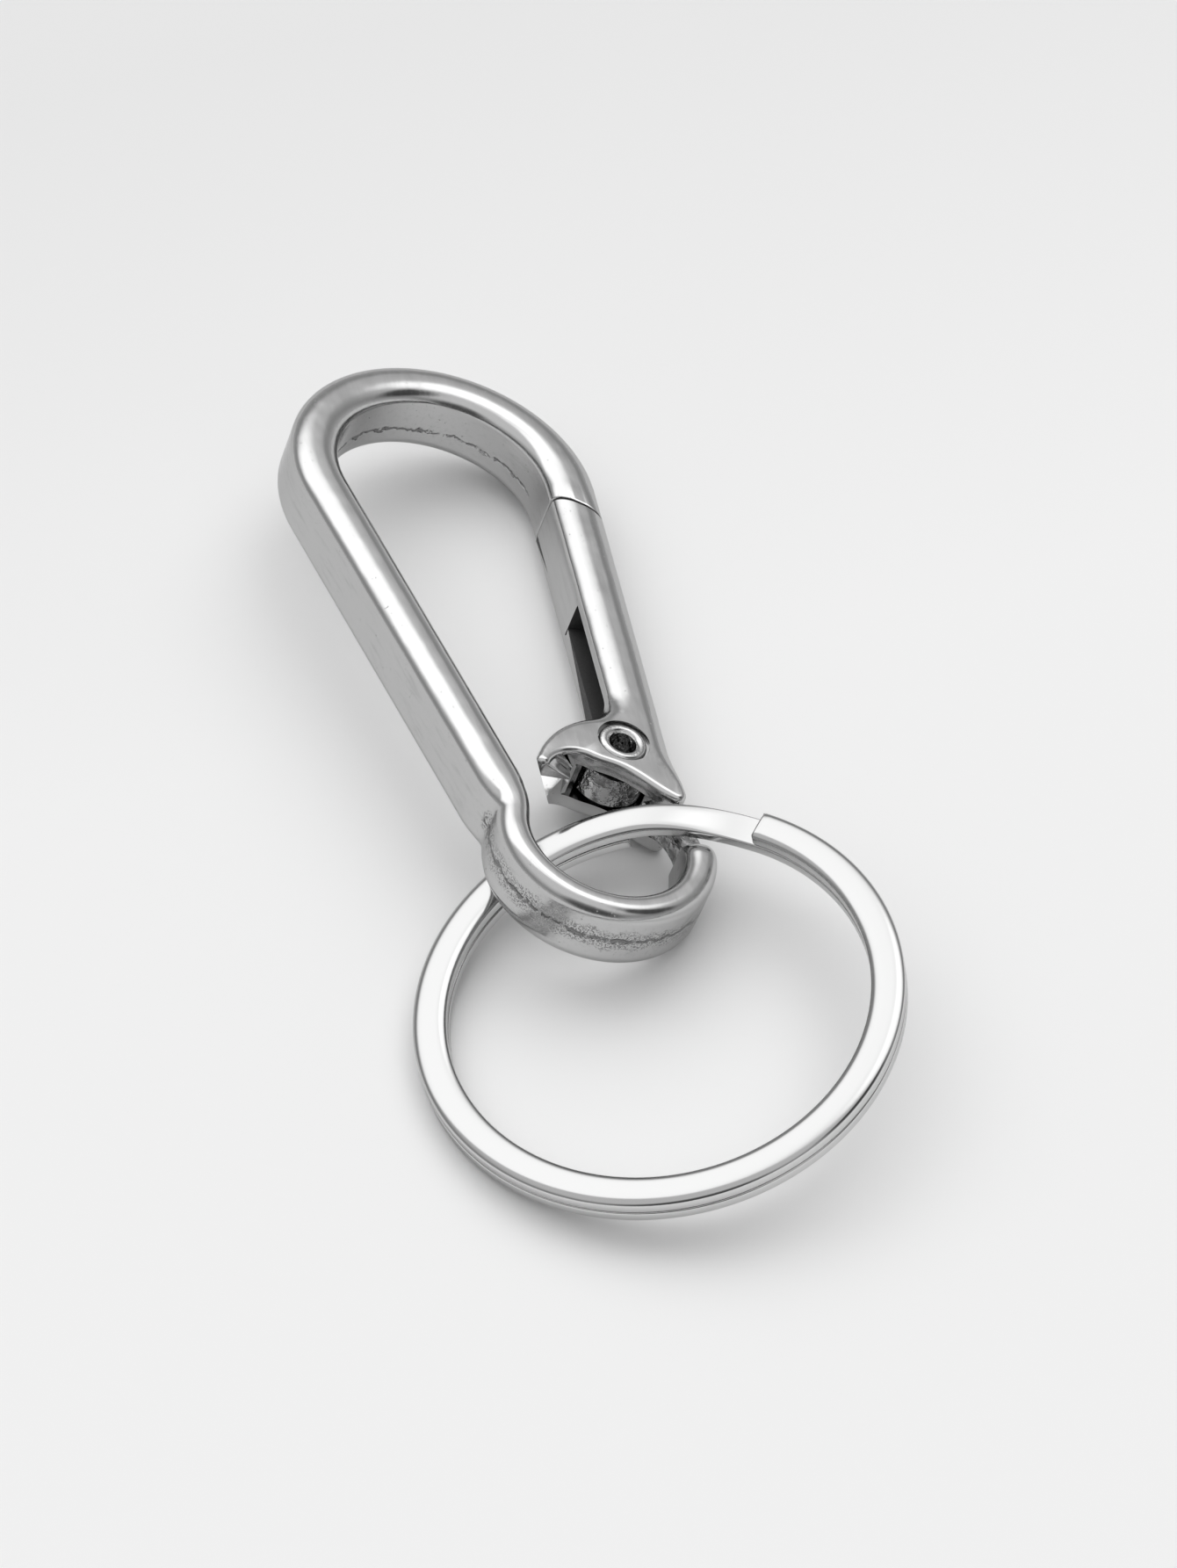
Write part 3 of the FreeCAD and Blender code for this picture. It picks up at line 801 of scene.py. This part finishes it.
def bump(nodes, links, height, strength, distance, under=None):
    """A surface raised by a height, over another bump if one is given."""
    made = nodes.new("ShaderNodeBump")
    made.inputs["Strength"].default_value = strength
    made.inputs["Distance"].default_value = distance
    links.new(height, made.inputs["Height"])
    if under is not None:
        links.new(under, made.inputs["Normal"])
    return made.outputs["Normal"]


def new_finish(name):
    """A plain metal to build a finish on."""
    material = bpy.data.materials.new(name)
    material.use_nodes = True
    nodes = material.node_tree.nodes
    shader = nodes["Principled BSDF"]
    shader.inputs["Metallic"].default_value = 1.0
    shader.inputs["Specular Tint"].default_value = grey(EDGE_TINT)
    return material, nodes, material.node_tree.links, shader


# %% Helpers for masks
def combined(nodes, links, operation, first, second):
    result = nodes.new("ShaderNodeMath")
    result.operation = operation
    links.new(first, result.inputs[0])
    links.new(second, result.inputs[1])
    return result.outputs["Value"]


def times(nodes, links, first, second):
    return combined(nodes, links, "MULTIPLY", first, second)


def greater(nodes, links, first, second):
    return combined(nodes, links, "MAXIMUM", first, second)


def size_of(nodes, links, value):
    size = nodes.new("ShaderNodeMath")
    size.operation = "ABSOLUTE"
    links.new(value, size.inputs[0])
    return size.outputs["Value"]


def parts_of(nodes, links, spot):
    split = nodes.new("ShaderNodeSeparateXYZ")
    links.new(spot, split.inputs["Vector"])
    return split.outputs


def from_centre(nodes, links, spot, centre):
    """Distance of a point from an upright line of the drawing."""
    off = nodes.new("ShaderNodeVectorMath")
    off.operation = "SUBTRACT"
    off.inputs[1].default_value = centre
    links.new(spot, off.inputs[0])
    flat = nodes.new("ShaderNodeVectorMath")
    flat.operation = "MULTIPLY"
    flat.inputs[1].default_value = (1, 1, 0)
    links.new(off.outputs["Vector"], flat.inputs[0])
    length = nodes.new("ShaderNodeVectorMath")
    length.operation = "LENGTH"
    links.new(flat.outputs["Vector"], length.inputs[0])
    return length.outputs["Value"]


# %% [markdown]
# ### The plated castings
# A polishing wheel runs along the bar and leaves faint streaks. It reaches the faces better than the
# sides, which keep a few scratches. Where nose and gate meet, both edges are dark, because the wheel
# and the plating reach them badly. Every flaw is a mask between 0 and 1. The strongest one darkens the
# metal and sinks it.

# %% Marks on the castings
JOINT_DARK = 0.06
JOINT_FADE = 0.14
JOINT_REACH = (3.6, 4.0)
JOINT_DEPTH = 0.9
SIDE_HEIGHT = (1.1, 1.6)
SCRATCH_DEPTH = 0.32


def joint_line(nodes, links, spot, at, way):
    """The dark edge of the joint between nose and gate, by the distance to its plane."""
    level = nodes.new("ShaderNodeVectorMath")
    level.operation = "DOT_PRODUCT"
    level.inputs[1].default_value = way
    links.new(spot, level.inputs[0])
    height = level.outputs["Value"]
    middle = way.dot(at)
    below = spread(nodes, links, height, middle - JOINT_FADE, middle - JOINT_DARK, 0.0, JOINT_DEPTH)
    above = spread(nodes, links, height, middle + JOINT_DARK, middle + JOINT_FADE, 1.0, 0.0)
    near = spread(nodes, links, from_centre(nodes, links, spot, at), *JOINT_REACH, 1.0, 0.0)
    return times(nodes, links, times(nodes, links, below, above), near)


def side_scratches(nodes, links, spot):
    """Faint scratches along the sides of the bar, which the wheel polished less than the faces."""
    along_bar = stretched(nodes, links, spot, (2.8, 0.14, 2.8))
    scratches = noise(nodes, links, along_bar, scale=1.0, detail=5.0, rough=0.7)
    height = size_of(nodes, links, parts_of(nodes, links, spot)["Z"])
    side = spread(nodes, links, height, *SIDE_HEIGHT, 1.0, 0.0)
    return times(nodes, links, side, spread(nodes, links, scratches, 0.52, 0.76, 0.0, SCRATCH_DEPTH))


# %% Plated casting
PLATED = 0.53
WORN = 0.20
PIT_DEPTH = 0.5


def plated_casting(name, place, joint, marks=None):
    """Polished nickel on a casting: slow waves, polishing streaks, a fine grain and scattered pits."""
    material, nodes, links, shader = new_finish(name)
    spot = place_mapping(nodes, links, place)
    along_bar = stretched(nodes, links, spot, (2.6, 0.22, 2.6))
    waves = noise(nodes, links, spot, scale=0.45, detail=1.0)
    streaks = noise(nodes, links, along_bar, scale=1.0, detail=4.0, rough=0.65)
    grain = noise(nodes, links, spot, scale=9.0, detail=3.0, rough=0.6)
    pits = noise(nodes, links, spot, scale=3.2, detail=4.0, rough=0.7)
    flaw = spread(nodes, links, pits, 0.68, 0.76, 0.0, PIT_DEPTH)
    flaw = greater(nodes, links, flaw, joint_line(nodes, links, spot, *joint))
    if marks is not None:
        flaw = greater(nodes, links, flaw, marks(nodes, links, spot, grain))
    dulled = greater(nodes, links, flaw, side_scratches(nodes, links, spot))
    links.new(tone_between(nodes, links, dulled, PLATED, WORN), shader.inputs["Base Color"])
    links.new(spread(nodes, links, streaks, 0.3, 0.75, 0.10, 0.24), shader.inputs["Roughness"])
    surface = bump(nodes, links, waves, strength=0.30, distance=0.00012)
    surface = bump(nodes, links, streaks, strength=0.12, distance=0.00003, under=surface)
    surface = bump(nodes, links, grain, strength=0.06, distance=0.00002, under=surface)
    sunk = spread(nodes, links, flaw, 0.0, 1.0, 1.0, 0.0)
    surface = bump(nodes, links, sunk, strength=0.8, distance=0.0001, under=surface)
    links.new(surface, shader.inputs["Normal"])
    return material


# %% [markdown]
# The casting shows where its mould halves met. A rough line runs round the outside of the eye and
# inside the bend, at about half the depth of the bar, and it is broken where the polishing wheel
# reached it. Each mark is a mask made from the distance to a centre of the drawing, the height across
# the bar and some noise. The hinge tongue was never polished, so it keeps the rough skin of the mould.

# %% Mould marks of the frame
SEAM_WANDER = 0.35
EYE_SEAM_START = (6.7, 6.9)
EYE_SEAM_END = (7.5, 7.7)
EYE_LINE = 0.18
EYE_ROUGH = 0.9
BEND_SEAM_START = (0.5, 1.5)
BEND_SEAM_END = (7.35, 7.5)
BEND_LINE = 0.12
BEND_LEVEL = -0.6


def seam(nodes, links, height, level, wander, half):
    """A line at a height across the bar that wanders with a noise value."""
    shift = spread(nodes, links, wander, 0.2, 0.8, -level - SEAM_WANDER, -level + SEAM_WANDER)
    off_line = size_of(nodes, links, combined(nodes, links, "ADD", height, shift))
    return spread(nodes, links, off_line, half * 0.4, half, 1.0, 0.0)


def mould_marks(nodes, links, spot, grain):
    """The seam round the outside of the eye, with rough metal beside it, and the seam inside the bend."""
    place = parts_of(nodes, links, spot)
    height = place["Z"]
    wander = noise(nodes, links, spot, scale=0.9, detail=3.0, rough=0.6)
    broken = noise(nodes, links, spot, scale=1.7, detail=3.0, rough=0.6)
    eye_out = from_centre(nodes, links, spot, EYE_CENTRE)
    outside = times(nodes, links, spread(nodes, links, eye_out, *EYE_SEAM_START, 0.0, 1.0),
                    spread(nodes, links, eye_out, *EYE_SEAM_END, 1.0, 0.0))
    eye_line = times(nodes, links, seam(nodes, links, height, 0.0, wander, EYE_LINE),
                     spread(nodes, links, broken, 0.36, 0.46, 0.0, 1.0))
    rough_zone = times(nodes, links, seam(nodes, links, height, 0.0, wander, EYE_ROUGH),
                       spread(nodes, links, grain, 0.52, 0.64, 0.0, 0.8))
    eye_marks = times(nodes, links, outside, greater(nodes, links, eye_line, rough_zone))
    bend_in = from_centre(nodes, links, spot, Vector())
    inside = times(nodes, links, spread(nodes, links, bend_in, *BEND_SEAM_END, 1.0, 0.0),
                   spread(nodes, links, place["Y"], *BEND_SEAM_START, 0.0, 1.0))
    bend_line = times(nodes, links, seam(nodes, links, height, BEND_LEVEL, wander, BEND_LINE),
                      spread(nodes, links, broken, 0.40, 0.50, 0.0, 0.9))
    return greater(nodes, links, eye_marks, times(nodes, links, inside, bend_line))


def cast_skin(nodes, links, spot, grain):
    """The rough skin of the casting where no polishing wheel reaches. It has no use for the fine grain."""
    skin = noise(nodes, links, spot, scale=1.5, detail=3.0, rough=0.6)
    return spread(nodes, links, skin, 0.42, 0.62, 0.0, 0.9)


gate_turn = Matrix.Rotation(math.radians(GATE_LEAN), 3, "Z")
frame_joint = (nose_at, nose_way)
gate_joint = (gate_turn @ (nose_at - PIVOT), gate_turn @ nose_way)
frame_finish = plated_casting("plated_frame", CLIP_PLACE, frame_joint, mould_marks)
tongue_finish = plated_casting("plated_tongue", CLIP_PLACE, frame_joint, cast_skin)
gate_finish = plated_casting("plated_gate", GATE_PLACE, gate_joint)
print("casting finishes", frame_finish.name, tongue_finish.name, gate_finish.name)

# %% [markdown]
# ### The ring's wire
# The ring is wound from flat wire that was rolled smooth. Its narrow sides get a painted reflection
# of the pale table, which makes them brighter than its broad faces. One material does both: the
# distance from the middle of the wire tells a side from a face.

# %% Plated wire
WIRE_FACE = 0.46
WIRE_SIDE_PAINTED_REFLECTION = 0.70
WIRE_SIDE_FROM = 0.06
WIRE_SIDE_FULL = 0.02


def plated_wire(name, place):
    """Polished nickel on rolled wire, with narrow sides brightened by a painted reflection."""
    material, nodes, links, shader = new_finish(name)
    spot = place_mapping(nodes, links, place)
    grain = noise(nodes, links, spot, scale=14.0, detail=3.0, rough=0.6)
    waves = noise(nodes, links, spot, scale=0.25, detail=1.0)
    from_middle = nodes.new("ShaderNodeMath")
    from_middle.operation = "SUBTRACT"
    from_middle.inputs[1].default_value = wire_radius
    links.new(from_centre(nodes, links, spot, Vector()), from_middle.inputs[0])
    off_middle = size_of(nodes, links, from_middle.outputs["Value"])
    half = WIRE_WIDTH / 2
    # The narrow sides are brightened as a painted reflection of the pale table.
    side = spread(nodes, links, off_middle, half - WIRE_SIDE_FROM, half - WIRE_SIDE_FULL, 0.0, 1.0)
    links.new(tone_between(nodes, links, side, WIRE_FACE, WIRE_SIDE_PAINTED_REFLECTION), shader.inputs["Base Color"])
    links.new(spread(nodes, links, grain, 0.3, 0.7, 0.10, 0.16), shader.inputs["Roughness"])
    surface = bump(nodes, links, waves, strength=0.2, distance=0.0001)
    surface = bump(nodes, links, grain, strength=0.04, distance=0.00002, under=surface)
    links.new(surface, shader.inputs["Normal"])
    return material


ring_finish = plated_wire("plated_wire", RING_PLACE)
print("wire finish", ring_finish.name)

# %% [markdown]
# ### Rivet and spring steel
# The rolled rim of the rivet is bright. Its bore is lumpy and darkened with painted shade, and it gets
# its own tone by the distance from the rivet's axis. The spring is dull dark steel, and the walls of the
# slot get the same dark tone as painted shade, and so they read as an opening.

# %% Rivet metal and bare steel
RIM = 0.52
BORE_SHADE = 0.34
BORE_EDGE = (0.02, 0.08)
BORE_LEVEL = (-0.1, 0.1)
BARE_STEEL_AND_SLOT_SHADE = 0.09
BARE_METALLIC = 0.6


def rivet_metal(name, place):
    """Plated metal with a bright rim, and a rough bore darkened with painted shade."""
    material, nodes, links, shader = new_finish(name)
    spot = place_mapping(nodes, links, place)
    grain = noise(nodes, links, spot, scale=2.6, detail=4.0, rough=0.65)
    across = from_centre(nodes, links, spot, Vector())
    in_bore = spread(nodes, links, across, RIVET_BORE + BORE_EDGE[0], RIVET_BORE + BORE_EDGE[1], 1.0, 0.0)
    open_end = spread(nodes, links, parts_of(nodes, links, spot)["Z"], *BORE_LEVEL, 0.0, 1.0)
    bore_shade_and_lumps = times(nodes, links, in_bore, open_end)
    # The bore is darkened with painted shade.
    links.new(tone_between(nodes, links, bore_shade_and_lumps, RIM, BORE_SHADE), shader.inputs["Base Color"])
    links.new(spread(nodes, links, grain, 0.3, 0.7, 0.10, 0.22), shader.inputs["Roughness"])
    lumps = times(nodes, links, noise(nodes, links, spot, scale=1.6, detail=2.0), bore_shade_and_lumps)
    surface = bump(nodes, links, grain, strength=0.35, distance=0.00008)
    surface = bump(nodes, links, lumps, strength=1.0, distance=0.0005, under=surface)
    links.new(surface, shader.inputs["Normal"])
    return material


def bare_metal(name, place):
    """Dull dark steel for the spring, also laid on the walls of the slot as painted shade."""
    material, nodes, links, shader = new_finish(name)
    spot = place_mapping(nodes, links, place)
    grain = noise(nodes, links, spot, scale=6.0, detail=4.0, rough=0.6)
    shader.inputs["Metallic"].default_value = BARE_METALLIC
    shader.inputs["Base Color"].default_value = grey(BARE_STEEL_AND_SLOT_SHADE)
    links.new(spread(nodes, links, grain, 0.3, 0.7, 0.5, 0.75), shader.inputs["Roughness"])
    links.new(bump(nodes, links, grain, strength=0.3, distance=0.00005), shader.inputs["Normal"])
    return material


rivet_finish = rivet_metal("rivet_metal", GATE_PLACE)
spring_steel_and_slot_shade = bare_metal("bare_spring_and_slot_shade", GATE_PLACE)
print("other finishes", rivet_finish.name, spring_steel_and_slot_shade.name)

# %% [markdown]
# Each piece takes one finish, and the gate takes a second one. The walls inside its slot get painted
# shade: their faces are found by their place in the gate's drawing and given the spring's dark steel.

# %% Finishes on their pieces
SLOT_LOW = 2.5

for piece, finish in ((clip_frame, frame_finish), (hinge_tongue, tongue_finish), (gate, gate_finish),
                      (key_ring, ring_finish), (rivet, rivet_finish), (leaf, spring_steel_and_slot_shade)):
    piece.data.materials.clear()
    piece.data.materials.append(finish)
gate.data.materials.append(spring_steel_and_slot_shade)
# Faces inside the slot take the dark steel as painted shade.
dark = 0
for face in gate.data.polygons:
    spot = to_gate @ face.center
    inside = GATE_INNER + CLOSE < spot.x < GATE_OUTER - GATE_WALL + CLOSE
    if inside and abs(spot.z) < FORK_GAP / 2 + CLOSE and spot.y > SLOT_LOW:
        face.material_index = 1
        dark += 1
print("dark faces in the slot", dark)

# %% [markdown]
# ## Riding and standing in
# Each new piece but the leaf rides on the body that carries it and stands in for its imported node. The
# leaf is held by the gate at one end and bears on the knuckle at the other; it stays where it lies, and
# stands in for the imported spring.

# %% Bodies
for piece, body, node, slot in ((clip_frame, "clip", "clip_body", "plated_casting"),
                                (hinge_tongue, "clip", "clip_body", "plated_casting"),
                                (gate, "gate_lever", "gate", "plated_casting"),
                                (rivet, "gate_lever", "hinge_rivet", "rivet_metal"),
                                (key_ring, "key_ring", "split_ring", "ring_plating")):
    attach(piece, body)
    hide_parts(node)
    print(piece.name, "rides on", body)

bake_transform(leaf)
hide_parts("gate_spring")

# %% [markdown]
# ## Table
# The clip lies on a pale matt sheet. It is darkened towards the back with painted shade, so its tone
# follows its own Y coordinate.

# %% Pale table
TABLE_SIZE = 3.0
TABLE_NEAR = 0.88
TABLE_FAR_SHADED = 0.80
FADE_FROM = 0.01
FADE_TO = 0.08
TABLE_ROUGHNESS = 0.9
TABLE_GLOSS = 0.1

bpy.ops.object.select_all(action="DESELECT")
bpy.ops.mesh.primitive_plane_add(size=TABLE_SIZE)
table = bpy.context.object
table.name = "table"
table_finish = bpy.data.materials.new("table_paper")
table_finish.use_nodes = True
table_nodes = table_finish.node_tree.nodes
table_links = table_finish.node_tree.links
table_shader = table_nodes["Principled BSDF"]
table_spot = table_nodes.new("ShaderNodeTexCoord").outputs["Object"]
table_back = parts_of(table_nodes, table_links, table_spot)["Y"]
# Painted shade darkens the table towards the back.
table_back_shade = spread(table_nodes, table_links, table_back, FADE_FROM, FADE_TO, 0.0, 1.0)
table_tone = tone_between(table_nodes, table_links, table_back_shade, TABLE_NEAR, TABLE_FAR_SHADED)
table_links.new(table_tone, table_shader.inputs["Base Color"])
table_shader.inputs["Roughness"].default_value = TABLE_ROUGHNESS
table_shader.inputs["Specular IOR Level"].default_value = TABLE_GLOSS
table.data.materials.append(table_finish)
print("table fades from", TABLE_NEAR, "to", TABLE_FAR_SHADED)

# %% [markdown]
# ## Light
# Polished metal shows the room more than itself, so all the light is in the world, where its shape can
# be drawn. The walls are grey, which gives the dark lines along the roundings. A ceiling fades out
# towards the walls. One broad soft panel stands behind the clip and makes the white bands, and a
# smaller one at its right shapes the shadows. Two darker patches, in front and at the right, give the
# metal its deeper tones.

# %% Patches of light and dark
room = bpy.data.worlds.new("room")
bpy.context.scene.world = room
room.use_nodes = True
room_nodes = room.node_tree.nodes
room_links = room.node_tree.links


def sky_way(bearing, rise):
    """The direction at a bearing from +Y towards +X and a rise above the table, in degrees."""
    flat = math.cos(math.radians(rise))
    turn = math.radians(bearing)
    return Vector((flat * math.sin(turn), flat * math.cos(turn), math.sin(math.radians(rise))))


def sky_glow(way, full_within, none_beyond, light, elsewhere=0.0):
    """Light that is full near a direction and fades to another level round it."""
    direction = room_nodes.new("ShaderNodeTexCoord")
    nearness = room_nodes.new("ShaderNodeVectorMath")
    nearness.operation = "DOT_PRODUCT"
    nearness.inputs[1].default_value = way
    room_links.new(direction.outputs["Generated"], nearness.inputs[0])
    fade = room_nodes.new("ShaderNodeMapRange")
    fade.interpolation_type = "SMOOTHSTEP"
    fade.inputs["From Min"].default_value = math.cos(math.radians(none_beyond))
    fade.inputs["From Max"].default_value = math.cos(math.radians(full_within))
    fade.inputs["To Min"].default_value = elsewhere
    fade.inputs["To Max"].default_value = light
    room_links.new(nearness.outputs["Value"], fade.inputs["Value"])
    return fade.outputs["Result"]


def added(first, second):
    return combined(room_nodes, room_links, "ADD", first, second)


def dimmed(first, second):
    return times(room_nodes, room_links, first, second)


print("room", room.name)

# %% Soft light of the room
WALLS = 0.25
EVERYWHERE = (179, 180)
HORIZON = 0.35
HORIZON_EDGE = (88, 115)
CEILING = 0.64
CEILING_EDGE = (37, 80)
FRONT_BEARING = 197.0
FRONT_RISE = 20.0
FRONT_EDGE = (12, 34)
FRONT_SHARE = 0.25
SIDE_BEARING = 122.0
SIDE_RISE = 36.0
SIDE_EDGE = (10, 24)
SIDE_SHARE = 0.12

walls = sky_glow(UP, *EVERYWHERE, WALLS)
horizon = sky_glow(-UP, *HORIZON_EDGE, HORIZON)
ceiling = sky_glow(UP, *CEILING_EDGE, CEILING)
front = sky_glow(sky_way(FRONT_BEARING, FRONT_RISE), *FRONT_EDGE, FRONT_SHARE, 1.0)
side = sky_glow(sky_way(SIDE_BEARING, SIDE_RISE), *SIDE_EDGE, SIDE_SHARE, 1.0)
soft = dimmed(added(added(walls, horizon), ceiling), dimmed(front, side))
print("soft light of", WALLS, "on the walls and", CEILING, "more overhead")

# %% Broad panel and small one
PANEL_LIGHT = 1.15
PANEL_RISE_EDGE = (50, 70)
PANEL_LEFT = -52.0
PANEL_LEFT_EDGE = (84, 94)
PANEL_RIGHT = 35.0
PANEL_RIGHT_EDGE = (66, 118)
SMALL_LIGHT = 1.15
SMALL_BEARING = 62.0
SMALL_RISE = 56.0
SMALL_EDGE = (8, 26)

panel = sky_glow(UP, *PANEL_RISE_EDGE, PANEL_LIGHT)
panel = dimmed(panel, sky_glow(sky_way(PANEL_LEFT + 90, 0), *PANEL_LEFT_EDGE, 1.0))
panel = dimmed(panel, sky_glow(sky_way(PANEL_RIGHT - 90, 0), *PANEL_RIGHT_EDGE, 1.0))
small_panel = sky_glow(sky_way(SMALL_BEARING, SMALL_RISE), *SMALL_EDGE, SMALL_LIGHT)
backdrop = room_nodes["Background"]
backdrop.inputs["Color"].default_value = grey(1)
room_links.new(added(soft, added(panel, small_panel)), backdrop.inputs["Strength"])
print("panel from bearing", PANEL_LEFT, "to", PANEL_RIGHT, "and the small one at", SMALL_BEARING)

# %% [markdown]
# ## Camera
# The camera looks down at the clip from the front left, through a long lens. Its place, its bearing and
# its drop were fitted to the ring, the outline of the clip and the table.

# %% Camera
CAMERA_AT = Vector((-0.05973, -0.17761, 0.20863))
CAMERA_DROP = 47.74
CAMERA_BEARING = 19.32
CAMERA_NEAREST = 0.01
FOCAL_PIXELS = 5000
PHOTO_HEIGHT = 1785
SENSOR = 36.0

bpy.ops.object.camera_add(location=CAMERA_AT)
camera = bpy.context.object
camera.rotation_euler = (math.radians(90 - CAMERA_DROP), 0, math.radians(-CAMERA_BEARING))
camera.data.sensor_width = SENSOR
camera.data.lens = SENSOR * FOCAL_PIXELS / PHOTO_HEIGHT
camera.data.clip_start = CAMERA_NEAREST
bpy.context.scene.camera = camera
bpy.context.scene.view_settings.view_transform = "Standard"
print("lens", round(camera.data.lens, 1), "mm")
